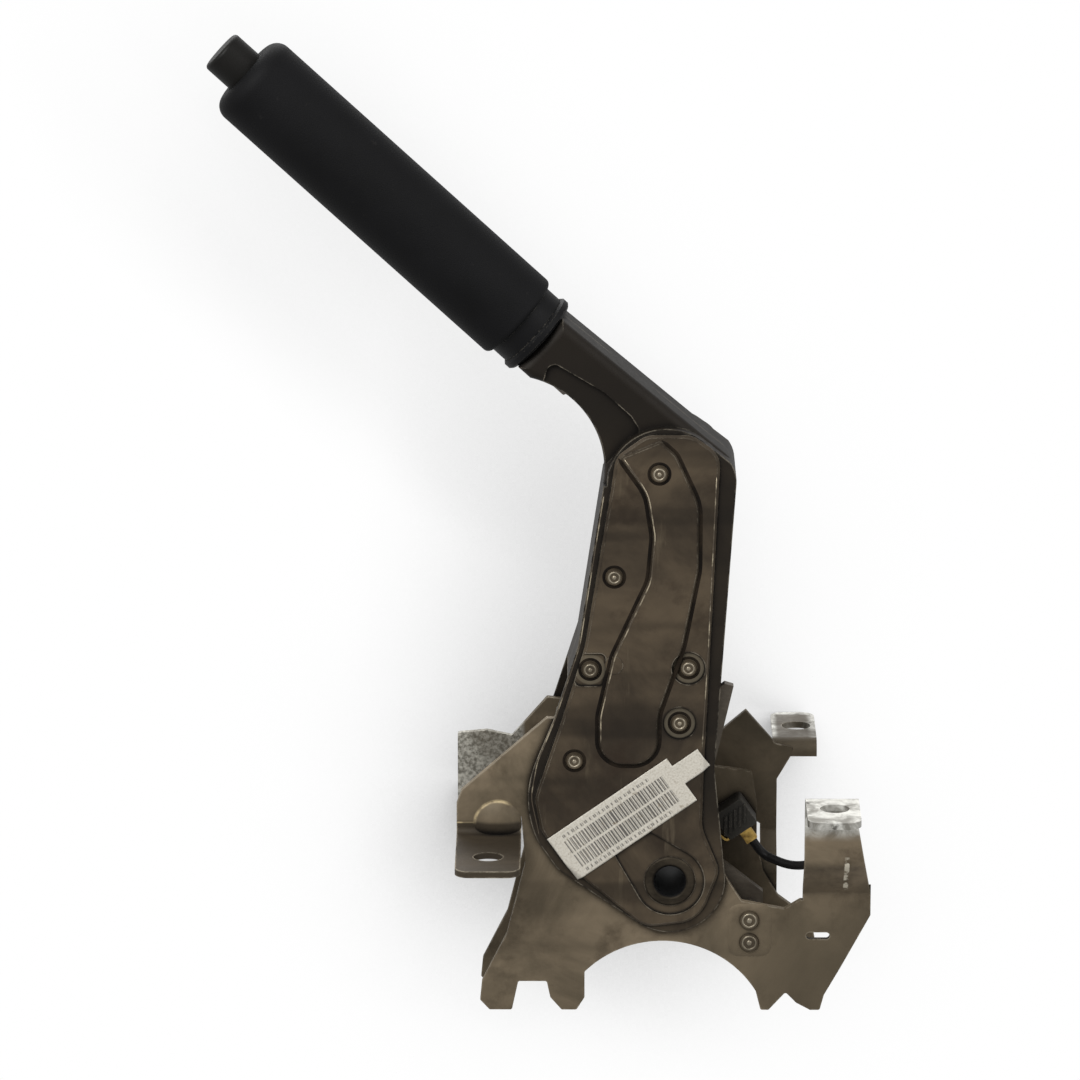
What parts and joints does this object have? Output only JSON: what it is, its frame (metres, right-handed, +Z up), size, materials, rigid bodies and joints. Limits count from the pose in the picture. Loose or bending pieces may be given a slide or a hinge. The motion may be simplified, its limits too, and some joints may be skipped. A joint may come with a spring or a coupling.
{
  "type": "parking brake lever",
  "caption": "Pull-up parking brake lever: pressed steel arm with cylindrical grip and release button, ratchet, and a base bracket with bolt flanges.",
  "frame": {"origin": "centre of the pivot tube's bore, midway between the two sides", "axes": "+Z up, +X to the rear of the car (the grip points to the front, -X), +Y across the car, away from the side with the label; the pivot turns about +Y"},
  "size_m": [0.2366, 0.124, 0.3546],
  "materials": {
    "arm_steel": "thin dark dip coat over pressed steel, worn",
    "base_steel": "thin grey-brown dip coat over pressed steel, worn bright on the flanges",
    "hard_steel": "dull steel",
    "grip_rubber": "matt black",
    "black_plastic": "matt black",
    "brass": "dull"
  },
  "bodies": {
    "base": {"near_base_plate": "base_steel", "far_base_plate": "base_steel", "rear_bracket": "base_steel", "toothed_sector": "hard_steel", "base_rivets": "hard_steel", "base_spacers": "hard_steel", "near_pivot_bush": "brass", "far_pivot_bush": "brass", "switch_body": "black_plastic", "switch_blade": "brass", "switch_terminal": "brass", "switch_lead": "black_plastic", "lead_plug": "black_plastic"},
    "arm": {"near_arm_shell": "arm_steel", "far_arm_shell": "arm_steel", "near_doubler": "arm_steel", "far_doubler": "arm_steel", "near_arm_rivets": "hard_steel", "far_arm_rivets": "hard_steel", "pivot_tube": "hard_steel", "cable_drum": "hard_steel", "pawl_pivot_pin": "hard_steel", "pawl_spacers": "hard_steel", "neck_tube": "hard_steel", "grip_collar": "black_plastic", "grip_sleeve": "grip_rubber", "spring_seat": "hard_steel", "button_spring": "hard_steel"},
    "button": {"release_button": "black_plastic", "push_rod": "hard_steel"},
    "pawl": {"pawl": "hard_steel"}
  },
  "joints": [
    {"name": "lever_pull", "type": "hinge", "parent": "base", "child": "arm", "pos_m": [0, 0, 0], "axis": [0, 1, 0], "range_deg": [0, 42], "deforming": ["switch_blade"]},
    {"name": "button_press", "type": "slide", "parent": "arm", "child": "button", "axis": [0.7373, 0, -0.6756], "range_m": [0, 0.005], "stiffness_N_per_m": 1200, "springref_m": -0.006, "deforming": ["button_spring"]},
    {"name": "pawl_lift", "type": "hinge", "parent": "arm", "child": "pawl", "pos_m": [-0.02037, 0, 0.08091], "axis": [0, 1, 0], "range_deg": [0, 12]}
  ],
  "couplings": [
    {"joint": "pawl_lift", "follows": "button_press", "rad_per_m": 41.667}
  ]
}
